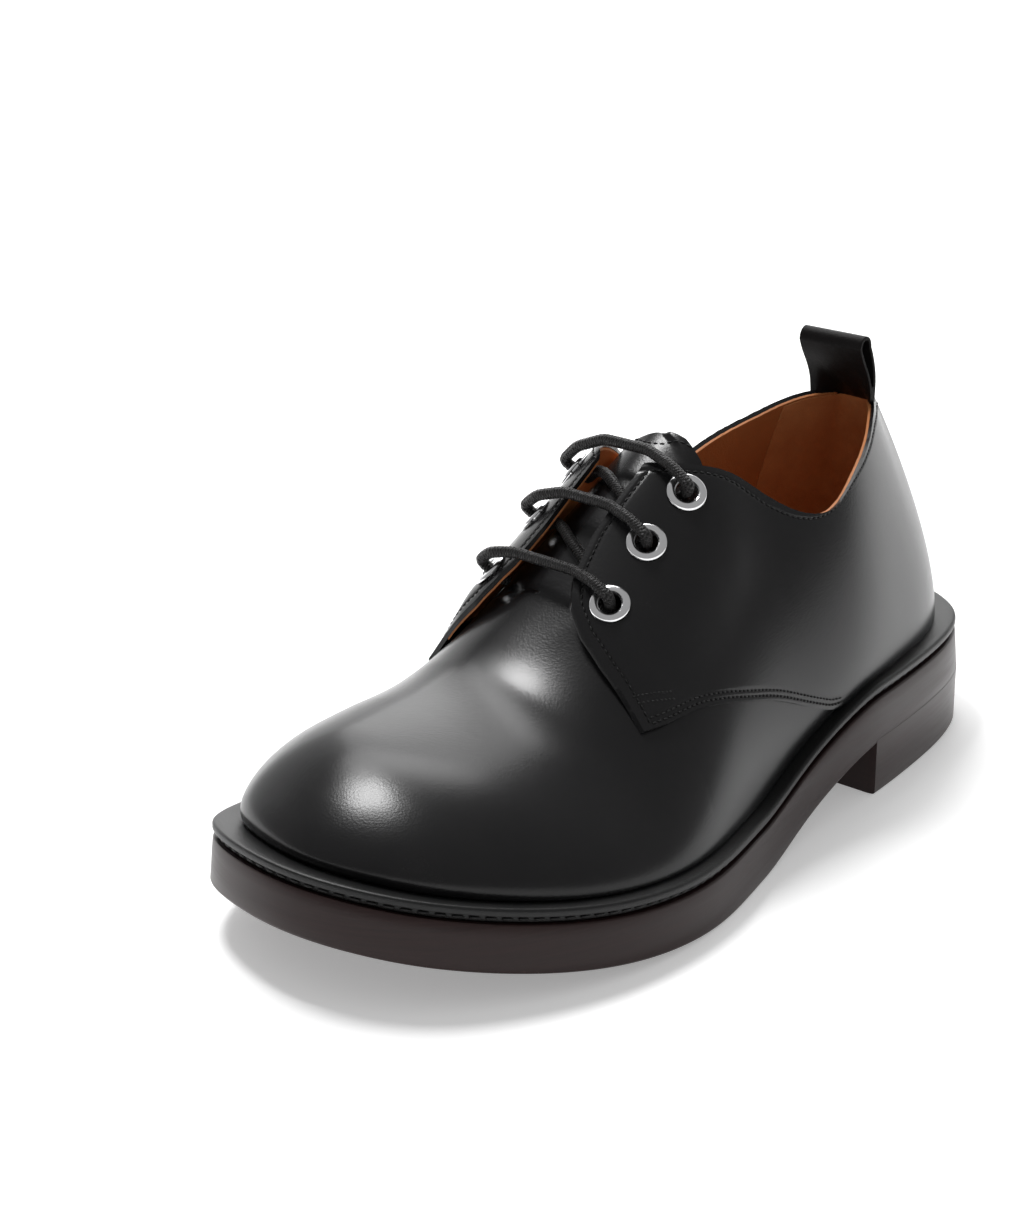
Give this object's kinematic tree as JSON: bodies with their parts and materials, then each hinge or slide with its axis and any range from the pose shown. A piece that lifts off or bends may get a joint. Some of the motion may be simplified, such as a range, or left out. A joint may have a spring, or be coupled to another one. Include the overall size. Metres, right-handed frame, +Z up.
{
  "type": "derby shoe",
  "caption": "Black leather derby shoe for the left foot, with a thick brown-edged sole, black welt, tan lining and a heel loop",
  "frame": {"origin": "Under the middle of the sole's bounding box, on the floor", "axes": "+Z up, the toe to -Y, +X the lateral side of the left foot"},
  "size_m": [0.1276, 0.3074, 0.135],
  "materials": {
    "sole_edge": "dark aubergine brown, burnished to a soft gloss",
    "welt_black": "black, waxed, flat",
    "lining_tan": "tan, unpolished",
    "black_calf": "black box calf, smooth and glossy",
    "black_strap": "black strap leather, matt",
    "chrome": "polished",
    "black_cord": "round braided cord, waxed"
  },
  "bodies": {
    "root": {"outsole": "sole_edge", "heel": "sole_edge", "welt": "welt_black", "insole": "lining_tan", "upper": "black_calf", "tongue": "black_calf", "pull_loop": "black_strap", "eyelet_lateral_1": "chrome", "eyelet_lateral_2": "chrome", "eyelet_lateral_3": "chrome", "eyelet_medial_1": "chrome", "eyelet_medial_2": "chrome", "eyelet_medial_3": "chrome", "lace": "black_cord"}
  },
  "joints": []
}
